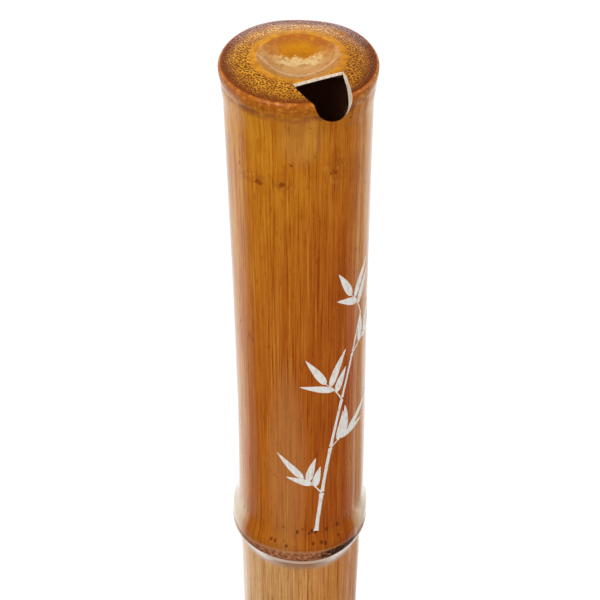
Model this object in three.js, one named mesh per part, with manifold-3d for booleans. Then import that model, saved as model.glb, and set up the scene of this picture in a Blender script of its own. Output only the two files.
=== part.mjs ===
// A xiao: an end-blown notch flute cut from one bamboo culm, in two sections that meet in a brass joint.
// Millimetres, +Z up. The flute stands on its foot end, with the origin at the middle of that flat face.
// The blowing notch and the finger holes face -Y, and the thumb hole and the vents face +Y.
import * as THREE from "three";
import { mergeVertices } from "three/addons/utils/BufferGeometryUtils.js";
import Module from "manifold-3d";

const wasm = await Module();
wasm.setup();

// Facets round a turned piece, round a hole, and along one stretch of the culm
const turnedSides = 40;
const holeSides = 20;
const swellingSteps = 5;
const lipSteps = 2;
const waistSteps = 3;
const dishSteps = 4;
const domeSteps = 3;
const notchSteps = 12;
// How far a cutting shape runs past what it cuts
const overrun = 2;

// Lengths along the culm, from the rim: to the first vent, which sounds the lowest note, and on to the foot
const soundingLength = 557;
const footStretch = 150;

// The culm. Its rim is the lip of the top node.
const culmLength = soundingLength + footStretch;
const culmEndRadius = 13.4;
const waistRadius = 13;
const boreRadius = 9.2;
const footEdgeRound = 0.6;

// The internodes, counted down from the rim
const firstInternode = 114.5;
const internodeLengthShare = 0.975;
const internodeGirthShares = [1, 0.982, 0.986, 0.993, 1, 1.008, 1.012];
const leastStretchBelowLastNode = 12;

// A node: a swelling that grows down to a narrow band and a sharp lip, and the drop below the lip
const lipRadius = 14.6;
const lipHeight = 0.5;
const lipDrop = 1.8;
const lipBand = 3.3;
const lipBandFlare = 0.15;
const swellingLength = 11.5;

// The rim: the top node's lip, which flares out of the first internode and rounds over into the end face
const rimRadius = 14;
const rimBand = 2.4;
const rimBandFlare = 0.3;
const rimFlareLength = 5;
const rimEdgeRound = 0.55;

// The end face: a low dome from the rim in to a dished diaphragm
const domeHeight = 1.45;
const dishRadius = 7;
const dishDepth = 2.6;
const dishPower = 2.9;
const diaphragmThickness = 0.8;
const diaphragmFillet = 1.9;

// The blowing notch, through the end face and the wall. Its floor slopes down inwards to a sharp edge.
const notchWidth = 7;
const notchChordWidth = 9.4;
const notchChordDistance = 7.65;
const notchDepth = 4;
const notchFloorSlope = 1.1;

// The finger holes. Each shortens the sounding length by the semitones of its note in equal temperament.
const endCorrection = 30;
const fingerHoleWidth = 8.6;
const fingerHoleHeight = 9.4;
const frontHoleSemitones = [2, 3, 5, 7, 9, 10, 11];
const thumbHoleSemitone = 12;
const semitonesPerOctave = 12;

// The vents below the finger holes, and the pair of cross holes near the foot
const ventDiameter = 9;
const ventSpacing = 22;
const ventCount = 2;
const crossHoleDiameter = 7.4;
const crossHoleDistance = 55;

// The brass joint between the two sections: a tenon in the foot section and a socket in the head section
const jointBelowFirstNode = 75.5;
const jointGap = 0.3;
const glueGap = 0.1;
const slipClearance = 0.12;
const tenonInset = 0.5;
const tenonWall = 1;
const tenonLength = 24;
const tenonRoot = 14;
const tenonEdgeRound = 0.3;
const socketWall = 0.5;
const socketEndPlay = 2;

// The brass ferrules let into the ends of the two sections
const ferruleLength = 9;
const ferruleInlay = 0.6;
const ferruleProud = 0.15;
const ferruleEdgeRound = 0.25;
const ferruleGrooveWidth = 1;
const ferruleGrooveDepth = 0.2;

// The rubber seal rings, each loose in a groove round the tenon
const sealRingCount = 2;
const sealRingSpacing = 12;
const sealRingSides = 8;
const sealGrooveDepth = 0.6;
const sealEndPlay = 0.15;
const sealFloorClearance = 0.06;
const sealSocketClearance = 0.05;

const brass = { color: 0xb98a3e, roughness: 0.3, metalness: 1 };
const bamboo = { color: 0xb5691c, roughness: 0.3, metalness: 0 };
const rubber = { color: 0x1c1a19, roughness: 0.75, metalness: 0 };

// A share of a half turn of a cosine: 1 at the start and 0 at the end
const fade = (share) => (1 + Math.cos(Math.PI * share)) / 2;
const steps = (count) => Array.from({ length: count + 1 }, (_, i) => i / count);

// Distances down from the rim: the rim, then each node's lip, then a place past the foot end
const internodeEnds = (() => {
  const ends = [0];
  let length = firstInternode;
  while (ends.at(-1) + length < culmLength - leastStretchBelowLastNode) {
    ends.push(ends.at(-1) + length);
    length *= internodeLengthShare;
  }
  return [...ends, culmLength + firstInternode];
})();

const girthShare = (index) => internodeGirthShares[Math.min(index, internodeGirthShares.length - 1)];

// The internode's own radius, waisted between its two nodes
function internodeRadius(distance, index) {
  const [start, end] = [internodeEnds[index], internodeEnds[index + 1]];
  const share = THREE.MathUtils.clamp((distance - start) / (end - start), 0, 1);
  const waist = Math.sin(Math.PI * share);
  return girthShare(index) * (culmEndRadius - (culmEndRadius - waistRadius) * waist);
}

// [radius, distance] points down the outside of the culm between two distances from the rim
function culmOutline(from, to) {
  const points = [];
  const add = (radius, distance) => {
    if (distance > from && distance < to) points.push([radius, distance]);
  };
  for (let index = 0; index < internodeEnds.length - 1; index += 1) {
    const [start, end] = [internodeEnds[index], internodeEnds[index + 1]];
    const upper = index === 0 ? rimFlareLength + rimBand : lipHeight + lipDrop;
    const [top, bottom] = [start + upper, end - swellingLength];
    for (const share of steps(waistSteps)) {
      const distance = top + (bottom - top) * share;
      add(internodeRadius(distance, index), distance);
    }
    if (index === internodeEnds.length - 2) break;
    for (const share of steps(swellingSteps).slice(1)) {
      const distance = bottom + (swellingLength - lipBand) * share;
      const own = internodeRadius(distance, index);
      add(own + (lipRadius - lipBandFlare - own) * (1 - fade(share)), distance);
    }
    add(lipRadius, end);
    const below = internodeRadius(end + lipHeight + lipDrop, index + 1);
    for (const share of steps(lipSteps).slice(0, -1)) {
      add(below + (lipRadius - below) * fade(share), end + lipHeight + lipDrop * share);
    }
  }
  return points;
}

// The culm's radius at a distance from the rim, read off its own outline
function culmRadiusAt(distance) {
  const outline = culmOutline(0, culmLength + firstInternode);
  const next = outline.findIndex((point) => point[1] >= distance);
  const [a, b] = [outline[next - 1], outline[next]];
  return a[0] + ((b[0] - a[0]) * (distance - a[1])) / (b[1] - a[1]);
}

const height = (distance) => culmLength - distance;
const jointDistance = firstInternode + jointBelowFirstNode;
const headEndDistance = jointDistance - jointGap / 2;
const footTopDistance = jointDistance + jointGap / 2;

// The radii of the joint, from the tenon outwards
const tenonInnerRadius = boreRadius - tenonInset;
const tenonRadius = tenonInnerRadius + tenonWall;
const socketInnerRadius = tenonRadius + slipClearance;
const socketRadius = socketInnerRadius + socketWall;
const socketSeatRadius = socketRadius + glueGap;
const socketLength = tenonLength + socketEndPlay;
const tenonSeatRadius = tenonRadius + glueGap;

// A closed solid turned about Z from a loop of [radius, height] points, given anticlockwise
function turned(loop) {
  const points = [...loop, loop[0]].map(([radius, z]) => new THREE.Vector2(radius, z));
  return new THREE.LatheGeometry(points, turnedSides).rotateX(Math.PI / 2);
}

// A closed solid through matching convex outlines, each anticlockwise as seen from the last one's side
function lofted(outlines) {
  const count = outlines[0].length;
  const positions = outlines.flat().flatMap((point) => [point.x, point.y, point.z]);
  const faces = [];
  for (let ring = 0; ring < outlines.length - 1; ring += 1) {
    for (let i = 0; i < count; i += 1) {
      const j = (i + 1) % count;
      const [a, b] = [ring * count + i, ring * count + j];
      faces.push(a, b, b + count, a, b + count, a + count);
    }
  }
  const last = (outlines.length - 1) * count;
  for (let i = 1; i < count - 1; i += 1) {
    faces.push(0, i + 1, i, last, last + i, last + i + 1);
  }
  const geometry = new THREE.BufferGeometry();
  geometry.setAttribute("position", new THREE.Float32BufferAttribute(positions, 3));
  return geometry.setIndex(faces);
}

function solidOf(geometry) {
  const bare = geometry.clone();
  bare.deleteAttribute("normal");
  bare.deleteAttribute("uv");
  const merged = mergeVertices(bare);
  const made = new wasm.Manifold(
    new wasm.Mesh({
      numProp: 3,
      vertProperties: merged.getAttribute("position").array,
      triVerts: new Uint32Array(merged.index.array),
    }),
  );
  if (made.volume() < 0) throw new Error("a cutting shape or a blank is inside out");
  return made;
}

function geometryOf(solid) {
  const mesh = solid.getMesh();
  const geometry = new THREE.BufferGeometry();
  geometry.setAttribute("position", new THREE.BufferAttribute(mesh.vertProperties, 3));
  geometry.setIndex(new THREE.BufferAttribute(mesh.triVerts, 1));
  const faceted = geometry.toNonIndexed();
  faceted.computeVertexNormals();
  return faceted;
}

function cutFrom(blank, cutters) {
  return geometryOf(cutters.reduce((solid, cutter) => solid.subtract(solidOf(cutter)), solidOf(blank)));
}

function part(name, geometry, finish) {
  const mesh = new THREE.Mesh(geometry, new THREE.MeshStandardMaterial(finish));
  mesh.name = name;
  return mesh;
}

// The height of the dished diaphragm's upper face over the rim, inside the dish
const dishHeight = (radius) => domeHeight - dishDepth * (1 - (radius / dishRadius) ** dishPower);

// [radius, height over the rim] points of the end face, from its middle out to the rim
function endFaceOutline() {
  const dish = steps(dishSteps).map((share) => [dishRadius * share, dishHeight(dishRadius * share)]);
  const edgeRadius = rimRadius - rimEdgeRound;
  const dome = steps(domeSteps)
    .slice(1)
    .map((share) => [
      dishRadius + (edgeRadius - dishRadius) * share,
      rimEdgeRound + (domeHeight - rimEdgeRound) * Math.cos((Math.PI / 2) * share),
    ]);
  return [...dish, ...dome];
}

// [radius, height over the rim] points of the diaphragm's lower face, from the bore's wall to its middle
function diaphragmUnderside() {
  const flatRadius = boreRadius - diaphragmFillet;
  const under = domeHeight - diaphragmThickness;
  const fillet = steps(dishSteps).map((share) => [
    flatRadius + diaphragmFillet * Math.cos((Math.PI / 2) * share),
    under - diaphragmFillet + diaphragmFillet * Math.sin((Math.PI / 2) * share),
  ]);
  const inner = steps(dishSteps)
    .reverse()
    .slice(1)
    .map((share) => [flatRadius * share, under - dishDepth * (1 - share ** dishPower)]);
  return [...fillet, ...inner];
}

// The flare from the first internode up to the rim: a band, and the curve below it
function rimOutline() {
  const below = internodeRadius(rimBand + rimFlareLength, 0);
  const bandRadius = rimRadius - rimBandFlare;
  const band = steps(lipSteps)
    .slice(0, -1)
    .map((share) => [rimRadius - rimBandFlare * share ** 2, rimBand * share]);
  const flare = steps(swellingSteps)
    .slice(0, -1)
    .map((share) => [below + (bandRadius - below) * fade(share), rimBand + rimFlareLength * share]);
  return [...band, ...flare];
}

// The notch's cutting shape at a distance from the flute's axis, half an ellipse with upright sides
function notchOutline(distance, width) {
  const rise = domeHeight + overrun;
  const depth = notchDepth + (rimRadius - distance) * notchFloorSlope;
  const bowl = steps(notchSteps).map((share) => {
    const turn = Math.PI * share;
    return [(-width / 2) * Math.cos(turn), rimEdgeRound - depth * Math.sin(turn)];
  });
  return [[-width / 2, rise], ...bowl, [width / 2, rise]].map(
    ([x, z]) => new THREE.Vector3(x, -distance, culmLength + z),
  );
}

function notchCutter() {
  const taper = (notchChordWidth - notchWidth) / (rimRadius - notchChordDistance);
  const outside = rimRadius + overrun;
  return lofted([
    notchOutline(notchChordDistance, notchChordWidth),
    notchOutline(outside, notchWidth - taper * overrun),
  ]);
}

// An oval cutting shape through the wall. The turn is about Z, from the front, which faces -Y.
function holeCutter(width, tall, distance, turn) {
  const reach = lipRadius + overrun;
  const oval = new THREE.CylinderGeometry(width / 2, width / 2, reach, holeSides);
  oval.scale(1, 1, tall / width).translate(0, -reach / 2, 0);
  return oval.rotateZ(turn).translate(0, 0, height(distance));
}

const holeDistance = (semitone) =>
  (soundingLength + endCorrection) * 2 ** (-semitone / semitonesPerOctave) - endCorrection;

function headTube() {
  const seatRadius = culmRadiusAt(jointDistance) - ferruleInlay;
  const seatStart = headEndDistance - ferruleLength - glueGap;
  const outside = [
    ...rimOutline(),
    ...culmOutline(rimBand + rimFlareLength, seatStart),
    [culmRadiusAt(seatStart), seatStart],
    [seatRadius, seatStart],
    [seatRadius, headEndDistance],
    [socketSeatRadius, headEndDistance],
    [socketSeatRadius, headEndDistance - socketLength - glueGap],
    [boreRadius, headEndDistance - socketLength - glueGap],
  ].map(([radius, distance]) => [radius, height(distance)]);
  const over = (points) => points.map(([radius, z]) => [radius, culmLength + z]);
  const loop = [...over(endFaceOutline()), ...outside, ...over(diaphragmUnderside())];
  return cutFrom(turned(loop.reverse()), [notchCutter()]);
}

function footTube() {
  const seatRadius = culmRadiusAt(jointDistance) - ferruleInlay;
  const seatEnd = footTopDistance + ferruleLength + glueGap;
  const endRadius = culmRadiusAt(culmLength);
  const loop = [
    [tenonSeatRadius, footTopDistance],
    [seatRadius, footTopDistance],
    [seatRadius, seatEnd],
    [culmRadiusAt(seatEnd), seatEnd],
    ...culmOutline(seatEnd, culmLength - footEdgeRound),
    [endRadius, culmLength - footEdgeRound],
    [endRadius - footEdgeRound, culmLength],
    [boreRadius, culmLength],
    [boreRadius, footTopDistance + tenonRoot + glueGap],
    [tenonSeatRadius, footTopDistance + tenonRoot + glueGap],
  ].map(([radius, distance]) => [radius, height(distance)]);
  const fingerHoles = frontHoleSemitones.map((semitone) =>
    holeCutter(fingerHoleWidth, fingerHoleHeight, holeDistance(semitone), 0),
  );
  const thumbHole = holeCutter(fingerHoleWidth, fingerHoleHeight, holeDistance(thumbHoleSemitone), Math.PI);
  const vents = Array.from({ length: ventCount }, (_, i) =>
    holeCutter(ventDiameter, ventDiameter, soundingLength + ventSpacing * i, Math.PI),
  );
  const crossHoles = [1, -1].map((side) =>
    holeCutter(
      crossHoleDiameter,
      crossHoleDiameter,
      soundingLength + crossHoleDistance,
      (side * Math.PI) / 2,
    ),
  );
  return cutFrom(turned(loop.reverse()), [...fingerHoles, thumbHole, ...vents, ...crossHoles]);
}

// A ferrule: a ring with eased edges and one turned groove, from its low end up
function ferrule(lowHeight) {
  const seat = culmRadiusAt(jointDistance) - ferruleInlay;
  const inner = seat + glueGap;
  const outer = seat + ferruleInlay + ferruleProud;
  const middle = lowHeight + ferruleLength / 2;
  const top = lowHeight + ferruleLength;
  const groove = ferruleGrooveWidth / 2;
  return turned([
    [inner, lowHeight],
    [outer - ferruleEdgeRound, lowHeight],
    [outer, lowHeight + ferruleEdgeRound],
    [outer, middle - groove],
    [outer - ferruleGrooveDepth, middle - groove / 2],
    [outer - ferruleGrooveDepth, middle + groove / 2],
    [outer, middle + groove],
    [outer, top - ferruleEdgeRound],
    [outer - ferruleEdgeRound, top],
    [inner, top],
  ]);
}

function socketTube() {
  const low = height(headEndDistance);
  return turned([
    [socketInnerRadius, low],
    [socketRadius, low],
    [socketRadius, low + socketLength],
    [socketInnerRadius, low + socketLength],
  ]);
}

// The seal rings fill their grooves from floor to socket, less their clearances
const sealFloorRadius = tenonRadius - sealGrooveDepth;
const sealInnerRadius = sealFloorRadius + sealFloorClearance;
const sealOuterRadius = socketInnerRadius - sealSocketClearance;
const sealSection = sealOuterRadius - sealInnerRadius;

// Heights of the seal rings' middles, evenly either side of the middle of the tenon's free length
const sealHeights = Array.from({ length: sealRingCount }, (_, i) => {
  const middle = height(footTopDistance) + tenonLength / 2;
  return middle + ((sealRingCount - 1) / 2 - i) * sealRingSpacing;
});

function tenonTube() {
  const low = height(footTopDistance) - tenonRoot;
  const top = height(footTopDistance) + tenonLength;
  const halfGroove = sealSection / 2 + sealEndPlay;
  const grooves = [...sealHeights].reverse().flatMap((z) => [
    [tenonRadius, z - halfGroove],
    [sealFloorRadius, z - halfGroove],
    [sealFloorRadius, z + halfGroove],
    [tenonRadius, z + halfGroove],
  ]);
  return turned([
    [tenonInnerRadius, low],
    [tenonRadius, low],
    ...grooves,
    [tenonRadius, top - tenonEdgeRound],
    [tenonRadius - tenonEdgeRound, top],
    [tenonInnerRadius, top],
  ]);
}

function sealRing(z) {
  const middle = (sealInnerRadius + sealOuterRadius) / 2;
  const loop = Array.from({ length: sealRingSides }, (_, i) => {
    const turn = (2 * Math.PI * i) / sealRingSides;
    return [middle + (sealSection / 2) * Math.cos(turn), z + (sealSection / 2) * Math.sin(turn)];
  });
  return turned(loop);
}

const headSection = new THREE.Group();
headSection.add(
  part("head_tube", headTube(), bamboo),
  part("head_ferrule", ferrule(height(headEndDistance)), brass),
  part("socket_tube", socketTube(), brass),
);

const footSection = new THREE.Group();
footSection.add(
  part("foot_tube", footTube(), bamboo),
  part("foot_ferrule", ferrule(height(footTopDistance) - ferruleLength), brass),
  part("tenon_tube", tenonTube(), brass),
);

const sealRings = new THREE.Group();
sealHeights.forEach((z, i) => sealRings.add(part(`seal_ring_${i + 1}`, sealRing(z), rubber)));

const xiao = new THREE.Group();
xiao.add(headSection, footSection, sealRings);

export default xiao;
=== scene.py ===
"""The looks of a xiao, a bamboo notch flute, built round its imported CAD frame. Metres, +Z up."""

from math import atan2, copysign, cos, exp, pi, radians, sin, sqrt

import bpy
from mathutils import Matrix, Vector, noise


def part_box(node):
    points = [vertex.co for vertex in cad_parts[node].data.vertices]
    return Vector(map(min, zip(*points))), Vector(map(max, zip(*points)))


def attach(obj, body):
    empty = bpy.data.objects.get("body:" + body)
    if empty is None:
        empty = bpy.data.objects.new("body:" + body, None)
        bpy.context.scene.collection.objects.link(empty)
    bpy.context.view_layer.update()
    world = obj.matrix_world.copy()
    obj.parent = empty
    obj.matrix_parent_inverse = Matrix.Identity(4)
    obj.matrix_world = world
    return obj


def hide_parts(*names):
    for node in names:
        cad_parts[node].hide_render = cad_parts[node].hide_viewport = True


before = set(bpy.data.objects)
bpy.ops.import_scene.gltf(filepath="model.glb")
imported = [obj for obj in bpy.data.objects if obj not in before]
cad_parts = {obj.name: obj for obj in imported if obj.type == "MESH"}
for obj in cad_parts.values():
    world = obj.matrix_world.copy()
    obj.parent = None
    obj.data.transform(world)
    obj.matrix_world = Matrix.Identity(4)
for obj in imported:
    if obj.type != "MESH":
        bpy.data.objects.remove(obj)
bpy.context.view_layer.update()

MM = 0.001

# The culm's driving sizes, as in the CAD. A distance is measured down from the rim.
DOME_HEIGHT = 1.45 * MM
RIM_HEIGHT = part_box("head_tube")[1].z - DOME_HEIGHT
RIM_MM = RIM_HEIGHT / MM
CULM_LENGTH = RIM_HEIGHT
CULM_END_RADIUS = 13.4 * MM
WAIST_RADIUS = 13 * MM
BORE_RADIUS = 9.2 * MM
FOOT_EDGE_ROUND = 0.6 * MM
FOOT_EDGE_SHARE = 0.3
FIRST_INTERNODE = 114.5 * MM
LENGTH_SHARE = 0.975
GIRTH_SHARES = (1, 0.982, 0.986, 0.993, 1, 1.008, 1.012)
LEAST_LAST_STRETCH = 12 * MM
LIP_RADIUS = 14.55 * MM
LIP_HEIGHT = 0.6 * MM
LIP_DROP = 1.3 * MM
LIP_DROP_EARLINESS = 0.6
LIP_BAND = 3.3 * MM
LIP_BAND_FLARE = 0.15 * MM
SWELLING_LENGTH = 11.5 * MM
SWELLING_LATENESS = 2
RIM_RADIUS = 14 * MM
RIM_BAND = 2.4 * MM
RIM_BAND_FLARE = 0.3 * MM
RIM_FLARE_LENGTH = 5 * MM
RIM_EDGE_ROUND = 0.55 * MM
DISH_RADIUS = 7.35 * MM
DISH_WAVE = 0.16 * MM
DISH_WAVES = 3
DISH_WAVE_REACH = 2 * MM
DISH_DEPTH = 2.6 * MM
DISH_FLATNESS = 2.9
DIAPHRAGM_THICKNESS = 0.8 * MM
UNDER_FILLET = 1.9 * MM
DIAPHRAGM_ZONE = 4 * MM

# The notch: its plan as (distance from the axis, width), and the hollow behind its edge
NOTCH_PLAN = (
    (7.65 * MM, 9.35 * MM), (9.1 * MM, 9.35 * MM), (11.6 * MM, 8.4 * MM),
    (13.4 * MM, 7.2 * MM), (16 * MM, 5.5 * MM),
)
NOTCH_DEPTH = 4.05 * MM
NOTCH_FLOOR_SLOPE = 1.1
NOTCH_LEAN = 0.6 * MM
HOLLOW_START = 7.4 * MM
HOLLOW_END = 13.1 * MM
HOLLOW_TOP = 1.05 * MM
HOLLOW_MARGIN = 1.3 * MM
HOLLOW_SLOPE = 0.93
HOLLOW_SQUARENESS = 0.25

# The finger holes and the vents: widths and heights, and places
SOUNDING_LENGTH = 557 * MM
END_CORRECTION = 30 * MM
FINGER_HOLE = (8.6 * MM, 9.4 * MM)
FRONT_HOLE_SEMITONES = (2, 3, 5, 7, 9, 10, 11)
THUMB_HOLE_SEMITONE = 12
OCTAVE = 12
VENT = (9 * MM, 9 * MM)
VENT_SPACING = 22 * MM
VENT_COUNT = 2
CROSS_HOLE = (7.4 * MM, 7.4 * MM)
CROSS_HOLE_DISTANCE = 55 * MM
HOLE_EDGE_ROUND = 0.35 * MM
# How far a hole's mouth swells and how high it lies over the skin, as shares of its edge round
HOLE_MOUTH_SHARES = ((0, -1), (0.12, -0.5), (0.4, -0.18), (1, 0.03))
HOLE_MOUTH_END_SHARE = 1.2

# The joint's brass and rubber
GLUE_GAP = 0.1 * MM
FERRULE_PROUD = 0.15 * MM
FERRULE_INLAY = 0.6 * MM
FERRULE_EDGE_ROUND = 0.25 * MM
FERRULE_GROOVE_WIDTH = 1 * MM
FERRULE_GROOVE_DEPTH = 0.2 * MM
SOCKET_WALL = 0.5 * MM
SOCKET_LEAD = 0.2 * MM
TENON_WALL = 1 * MM
TENON_EDGE_ROUND = 0.3 * MM
SEAL_GROOVE_DEPTH = 0.6 * MM
SEAL_END_PLAY = 0.15 * MM

# The engraved spray: places are (arc right of the line that faces the camera, distance from the rim)
SPRAY_START = (3.2 * MM, 106 * MM)
SPRAY_HEADING = radians(4)
SPRAY_TURNING = radians(3)
STALK_LENGTHS = (11 * MM, 12 * MM, 12 * MM, 10.5 * MM, 8.5 * MM)
STALK_WIDTH = 0.8 * MM
STALK_GAP = 0.45 * MM
TWIG_LENGTH = 6.5 * MM
TWIG_WIDTH = 0.32 * MM
TWIG_ANGLE = radians(34)
TWIG_TURNING = radians(24)
LEAF_SHARES = (0.4, 0.6, 0.8, 1)
LEAF_LENGTH = 7.6 * MM
LEAF_WIDTH = 1.55 * MM
LEAF_ANGLE = radians(36)
LEAF_TURNING = radians(16)
STALK_THINNING = 0.13
STALK_FLARE_SHARE = 0.4
STALK_FLARE_POWER = 6
TWIG_TAPER_SHARE = 0.5
TWIG_VARIETY = 0.2
LEAF_VARIETY = 0.22
LEAF_ANGLE_VARIETY = 0.15
LEAF_AT_TIP_SHARE = 0.25
LEAF_BLUNTNESS = 0.03
LEAF_EARLINESS = 0.62
LEAF_FULLNESS = 0.85
VARIETY_SCALE = 7.31
VARIETY_START = 0.37
FILLING_PROUD = 0.03 * MM
FILLING_DEPTH = 0.05 * MM

# Blemishes in front, in mm: place right of the middle, distance, half width, half height
GNARLS = ((-8.4, 16.6, 3.4, 2.1), (-2.6, 16.7, 2.6, 1.7), (6.9, 14.2, 3.8, 3.8))
KNOTS = ((-7.0, 17.2, 1.2, 1.0), (-2.4, 16.7, 1.6, 1.0), (6.0, 14.8, 1.1, 1.3), (-1.4, 12.1, 0.7, 0.9))
# The same with a share, and for the painted highlights, soft pale spots in front, with a colour
BLACK_PATCH = (7.4, 113.2, 4.6, 1.9, 1.6)
PAINTED_HIGHLIGHTS = ((0.5, 7, 5, 7, 0.13, (0.66, 0.42, 0.14)), (-2.5, 88, 5, 34, 0.15, (0.72, 0.46, 0.20)))
# The dark fibre's place left of the middle in mm, and its lean inwards
DARK_FIBRE_LEFT = 10.1
DARK_FIBRE_LEAN = 0.0105
# Where the front ends: how far a place faces away from the camera, from -1 to 1
FAR_SIDE = (-0.3, 0)

# Soft edges of the skin's marks, in mm below the rim
PAST_FIRST_MIDDLE = (60, 61)
SECOND_INTERNODE = (150, 151)
REDDENING = (5, 62)
CALM_GRAIN = (8, 42)
DARK_FIBRE_END = (100, 112)
# Where the painted highlight on the swellings fades to a lesser share
SWELLING_HIGHLIGHT_FADE = (130, 150)
RIM_BAND_END = (0.8, 2.6)
RIM_GROOVE = ((1.6, 2.3), (2.5, 3.8))
DULL_RIM = (0.3, 2)
DARKEST_NEAR_RIM = (9, 5)

# The same in mm below a node's lip, and above it where negative
NOT_BY_NODE = 200
PIT_ROWS = (((-9.8, -9.2), (-7.9, -7.3)), ((-5.9, -5.4), (-4.3, -3.8)))
# A painted highlight and a painted shade on each swelling
SWELLING_HIGHLIGHT = ((-11, -6), (-2.2, -0.8))
SHADE = ((-13, -6), (0, 1))
# A thin painted shade line just above each lip
SHADE_LINE_UNDER_SCAR = ((-0.7, -0.5), (-0.25, -0.1))
LIP_EDGE = (-0.3, -0.1)
# A band of painted shade and reflection below each lip
UNDER_LIP_START = (0.4, 0.6)
UNDER_LIP_END = (3.1, 5.2)
# The crest, whose lower and whiter sides are a painted highlight
CREST_END = (0.5, 1.4)
CREST_DROP = 2.3

# The scar band's height in mm in front and behind, its loss all round, and its least height
SCAR_HEIGHT = 3.5
SCAR_HEIGHT_LOSS = 0.9
LEAST_SCAR_HEIGHT = 0.45
SCAR_START = (0, 0.25)
SCAR_RUST = ((-0.4, 0), (0.3, 0.8))

# Soft edges on the end face, in mm from the axis
DISH_EDGE = (7.5, 7.9)
DISH_GLOSS = (6.3, 7.6)
SHADOW_START = (5.4, 6.7)
WOOD_DARKENING = (7, 14)
DOTS_START = (8.1, 8.8)
DOTS_END = (13, 13.5)
FINER_DOTS = (10.6, 11.8)
# The same in mm to the back, or to the right for the last two
PITH_BACK = (-6, 8)
SHADOW_BACK = (1.5, 5.5)
GLOSSY_BACK = (1, 7)
FAINT_DOTS_BACK = (1, 9)
DARK_FRONT = (-9, 1)
DARK_RIGHT = (2, 11)
DISH_SIDES = (3.9, 6.5)

# Depths of the finishes' relief
SKIN_RELIEF = 0.018 * MM
END_RELIEF = 0.02 * MM
CUT_RELIEF = 0.03 * MM
BRASS_RELIEF = 0.006 * MM
RUBBER_RELIEF = 0.01 * MM

# Steps of the fine meshes
AROUND = 240
STRETCH_STEP = 1.2 * MM
SWELLING_STEPS = 26
LIP_STEPS = 8
DISH_STEPS = 18
DOME_STEPS = 18
HOLE_STEPS = 56
NOTCH_STEPS = 48
HOLLOW_STEPS = 12
STROKE_STEPS = 14
AROUND_JOINT = 160
EDGE_STEPS = 5
GROOVE_STEPS = 8
SEAL_STEPS = 16
SHARP_ANGLE = radians(38)
OVERRUN = 2 * MM

# The unevenness of grown bamboo, which fades out towards the bore
UNEVENNESS = 0.09 * MM
UNEVEN_LENGTH = 24 * MM
UNEVEN_AROUND = 1.7
LIP_WANDER = 0.35 * MM
LIP_WANDER_SCALE = 1.1
LIP_WANDER_START = 2.1
LIP_WANDER_STEP = 5.3
LIP_RISE = 0.35 * MM
LIP_CUP = 1 * MM
LIP_TILT = 0.3 * MM
LIP_WAVE = 0.25 * MM
LIP_SHIFT = 0.3 * MM
LIP_REACH = 7 * MM
NODE_ZONE = 14 * MM
EVEN_INSIDE = 10.2 * MM
UNEVEN_OUTSIDE = 12 * MM
BEND = 0.5 * MM

# The camera, fitted to the photograph: its stand-off and rise are from the middle of the rim
CAMERA_TURN = radians(-25.2)
CAMERA_STAND_OFF = 241.15 * MM
CAMERA_RISE = 151.46 * MM
CAMERA_PITCH = radians(40.4)
CAMERA_YAW = radians(0.053)
FOCAL_PIXELS = 1632
FRAME_PIXELS = 600
SENSOR_WIDTH = 36
CAMERA_CLIP = (0.01, 20)

# The studio, in metres, with levels as shares of white
WHITE = (1, 1, 1, 1)
TABLE_FRONT = 0.04
TABLE_REACH = 4
TABLE_COLOUR = (0.45, 0.45, 0.45, 1)
FLOOR_GLOW = 0.82
FLOOR_GLOW_TURN = radians(195)
FLOOR_GLOW_EDGE = (240 * MM, 460 * MM)
WORLD_LEVEL = 0.45
WORLD_LEVEL_BELOW = 0.08
WORLD_HORIZON = (-0.15, 0.05)
WORLD_LOW = (0.25, 0.5)
WORLD_BEHIND = (0.2, 0.8)
HEAD_AIM = RIM_HEIGHT - FIRST_INTERNODE / 2
STRIP_HEIGHT = 0.36
# Lamps: name, degrees round from the camera, distance out, height, size, brightness, height aimed at
LAMPS = (
    ("key", -38, 0.75, RIM_HEIGHT + 0.5, (0.55, 0.55), 7.0, HEAD_AIM),
    ("fill", 62, 0.9, RIM_HEIGHT + 0.3, (0.6, 0.6), 3.5, HEAD_AIM),
    ("back", 178, 0.75, RIM_HEIGHT + 0.17, (1.0, 0.2), 2.1, HEAD_AIM),
    ("strip", 110, 0.5, STRIP_HEIGHT, (0.06, 0.7), 0.8, STRIP_HEIGHT),
    ("left_side", -108, 0.8, RIM_HEIGHT + 0.2, (0.6, 0.5), 1.6, HEAD_AIM),
    ("right_side", 108, 0.8, RIM_HEIGHT + 0.2, (0.6, 0.5), 1.6, HEAD_AIM),
)


def fade(share):
    """1 at the start and 0 at the end, as half a cosine wave."""
    return (1 + cos(pi * share)) / 2


def steps(count, first=0):
    return [i / count for i in range(first, count + 1)]


def turns(count):
    return [2 * pi * i / count for i in range(count)]


def share_of(low, high, value):
    return min(max((value - low) / (high - low), 0), 1)


def read_off(curve, place):
    """What a curve of (place, value) points gives between two of its places."""
    after = max(next(i for i, (at, _) in enumerate(curve) if at >= place), 1)
    (p0, v0), (p1, v1) = curve[after - 1], curve[after]
    return v0 + (v1 - v0) * (place - p0) / (p1 - p0)


def find_lips():
    """Distances to each node's lip, and last to a place past the foot end."""
    ends, length = [0], FIRST_INTERNODE
    while ends[-1] + length < CULM_LENGTH - LEAST_LAST_STRETCH:
        ends.append(ends[-1] + length)
        length *= LENGTH_SHARE
    return [*ends, CULM_LENGTH + FIRST_INTERNODE]


LIPS = find_lips()
SKIN, END, CUT, BORE = range(4)
TOP, SIDE = 0.25, 0


def span(name):
    """The heights of a CAD piece's lower and upper end, and its radius."""
    low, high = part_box(name)
    return low.z, high.z, high.x


def internode_radius(distance, index):
    share = share_of(LIPS[index], LIPS[index + 1], distance)
    girth = GIRTH_SHARES[min(index, len(GIRTH_SHARES) - 1)]
    return girth * (CULM_END_RADIUS - (CULM_END_RADIUS - WAIST_RADIUS) * sin(pi * share))


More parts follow.
